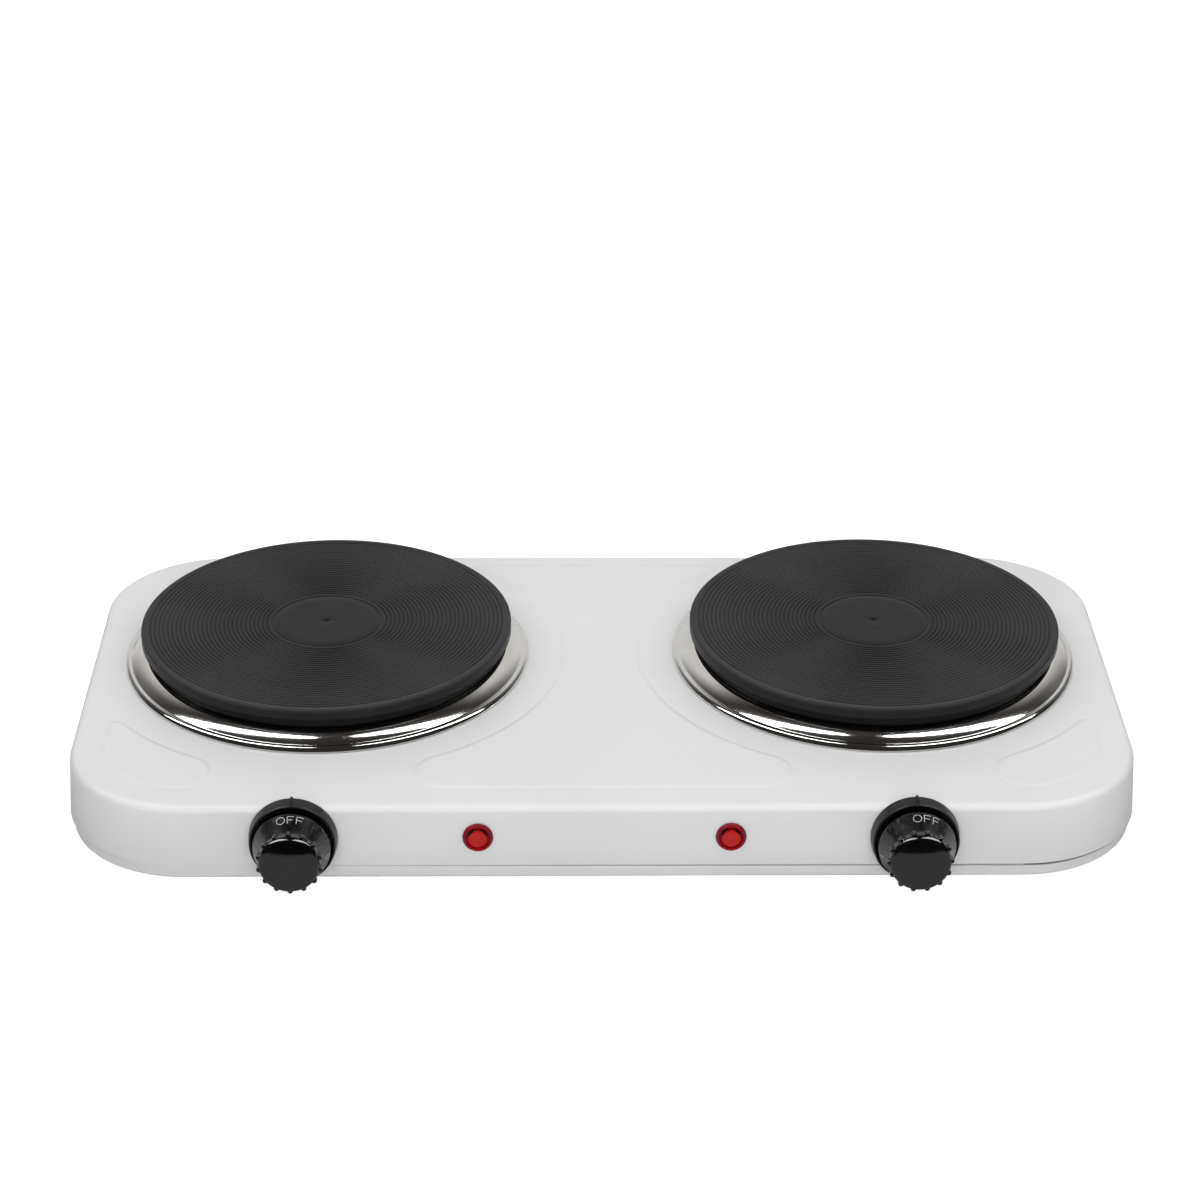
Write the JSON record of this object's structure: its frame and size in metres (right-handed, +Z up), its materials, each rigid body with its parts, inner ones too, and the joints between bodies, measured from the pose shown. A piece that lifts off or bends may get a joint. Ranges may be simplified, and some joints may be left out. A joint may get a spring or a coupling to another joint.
{
  "type": "hot plate burner",
  "caption": "Twin electric hot plate: white pressed steel housing with sealed cast iron plates in bright trim rings, front control knobs and red pilot lamps.",
  "frame": {"origin": "centre of the bounding box in plan, at the underside of the feet", "axes": "+X to the right seen from the controls, -Y out of the front wall with the knobs, +Z up"},
  "size_m": [0.4292, 0.2483, 0.057],
  "materials": {
    "white_enamel": "smooth glossy white enamel on pressed steel",
    "cast_iron": "dark satin heat resistant coat with fine concentric grooves",
    "stainless": "bright polished stainless steel",
    "bakelite": "glossy black heat resistant plastic",
    "red_lens": "clear red plastic lens",
    "zinc_steel": "zinc plated steel",
    "ceramic": "ivory steatite",
    "magnesia": "matt pressed magnesia around the heater coil",
    "rubber": "matt black rubber",
    "brass": "satin brass",
    "bimetal": "rolled bimetal strip",
    "sleeve": "woven glass fibre sleeve, taken as matt plastic",
    "earth_sleeve": "green sleeve",
    "nylon": "natural nylon"
  },
  "bodies": {
    "housing": {"top_shell": "white_enamel", "base_pan": "white_enamel", "foot_front_left": "rubber", "foot_screw_front_left": "zinc_steel", "corner_bracket_front_left": "zinc_steel", "foot_front_right": "rubber", "foot_screw_front_right": "zinc_steel", "corner_bracket_front_right": "zinc_steel", "foot_rear_left": "rubber", "foot_screw_rear_left": "zinc_steel", "corner_bracket_rear_left": "zinc_steel", "foot_rear_right": "rubber", "foot_screw_rear_right": "zinc_steel", "corner_bracket_rear_right": "zinc_steel", "left_hot_plate": "cast_iron", "left_heater_core": "magnesia", "left_element_cover": "zinc_steel", "left_trim_ring": "stainless", "left_centre_stud": "zinc_steel", "left_clamp_bridge": "zinc_steel", "left_stud_nut": "zinc_steel", "left_plate_terminal": "ceramic", "left_knob_bezel": "bakelite", "left_thermostat_frame": "zinc_steel", "left_thermostat_stack": "ceramic", "left_bimetal_blade": "bimetal", "left_lamp_lens": "red_lens", "left_lamp_clip": "zinc_steel", "left_lamp_holder": "nylon", "left_heater_lead": "sleeve", "left_live_lead": "sleeve", "left_neutral_lead": "sleeve", "right_hot_plate": "cast_iron", "right_heater_core": "magnesia", "right_element_cover": "zinc_steel", "right_trim_ring": "stainless", "right_centre_stud": "zinc_steel", "right_clamp_bridge": "zinc_steel", "right_stud_nut": "zinc_steel", "right_plate_terminal": "ceramic", "right_knob_bezel": "bakelite", "right_thermostat_frame": "zinc_steel", "right_thermostat_stack": "ceramic", "right_bimetal_blade": "bimetal", "right_lamp_lens": "red_lens", "right_lamp_clip": "zinc_steel", "right_lamp_holder": "nylon", "right_heater_lead": "sleeve", "right_live_lead": "sleeve", "right_neutral_lead": "sleeve", "cord_gland": "rubber", "terminal_block": "nylon", "terminal_block_screw": "zinc_steel", "earth_screw": "brass", "earth_lead": "earth_sleeve"},
    "left_control": {"left_knob": "bakelite", "left_shaft": "zinc_steel"},
    "right_control": {"right_knob": "bakelite", "right_shaft": "zinc_steel"}
  },
  "joints": [
    {"name": "left_knob_turn", "type": "hinge", "parent": "housing", "child": "left_control", "pos_m": [-0.121, -0.09923, 0.0284], "axis": [0, 0.9983, -0.058], "range_deg": [0, 270]},
    {"name": "right_knob_turn", "type": "hinge", "parent": "housing", "child": "right_control", "pos_m": [0.121, -0.09923, 0.0284], "axis": [0, 0.9983, -0.058], "range_deg": [-11, 259]}
  ]
}
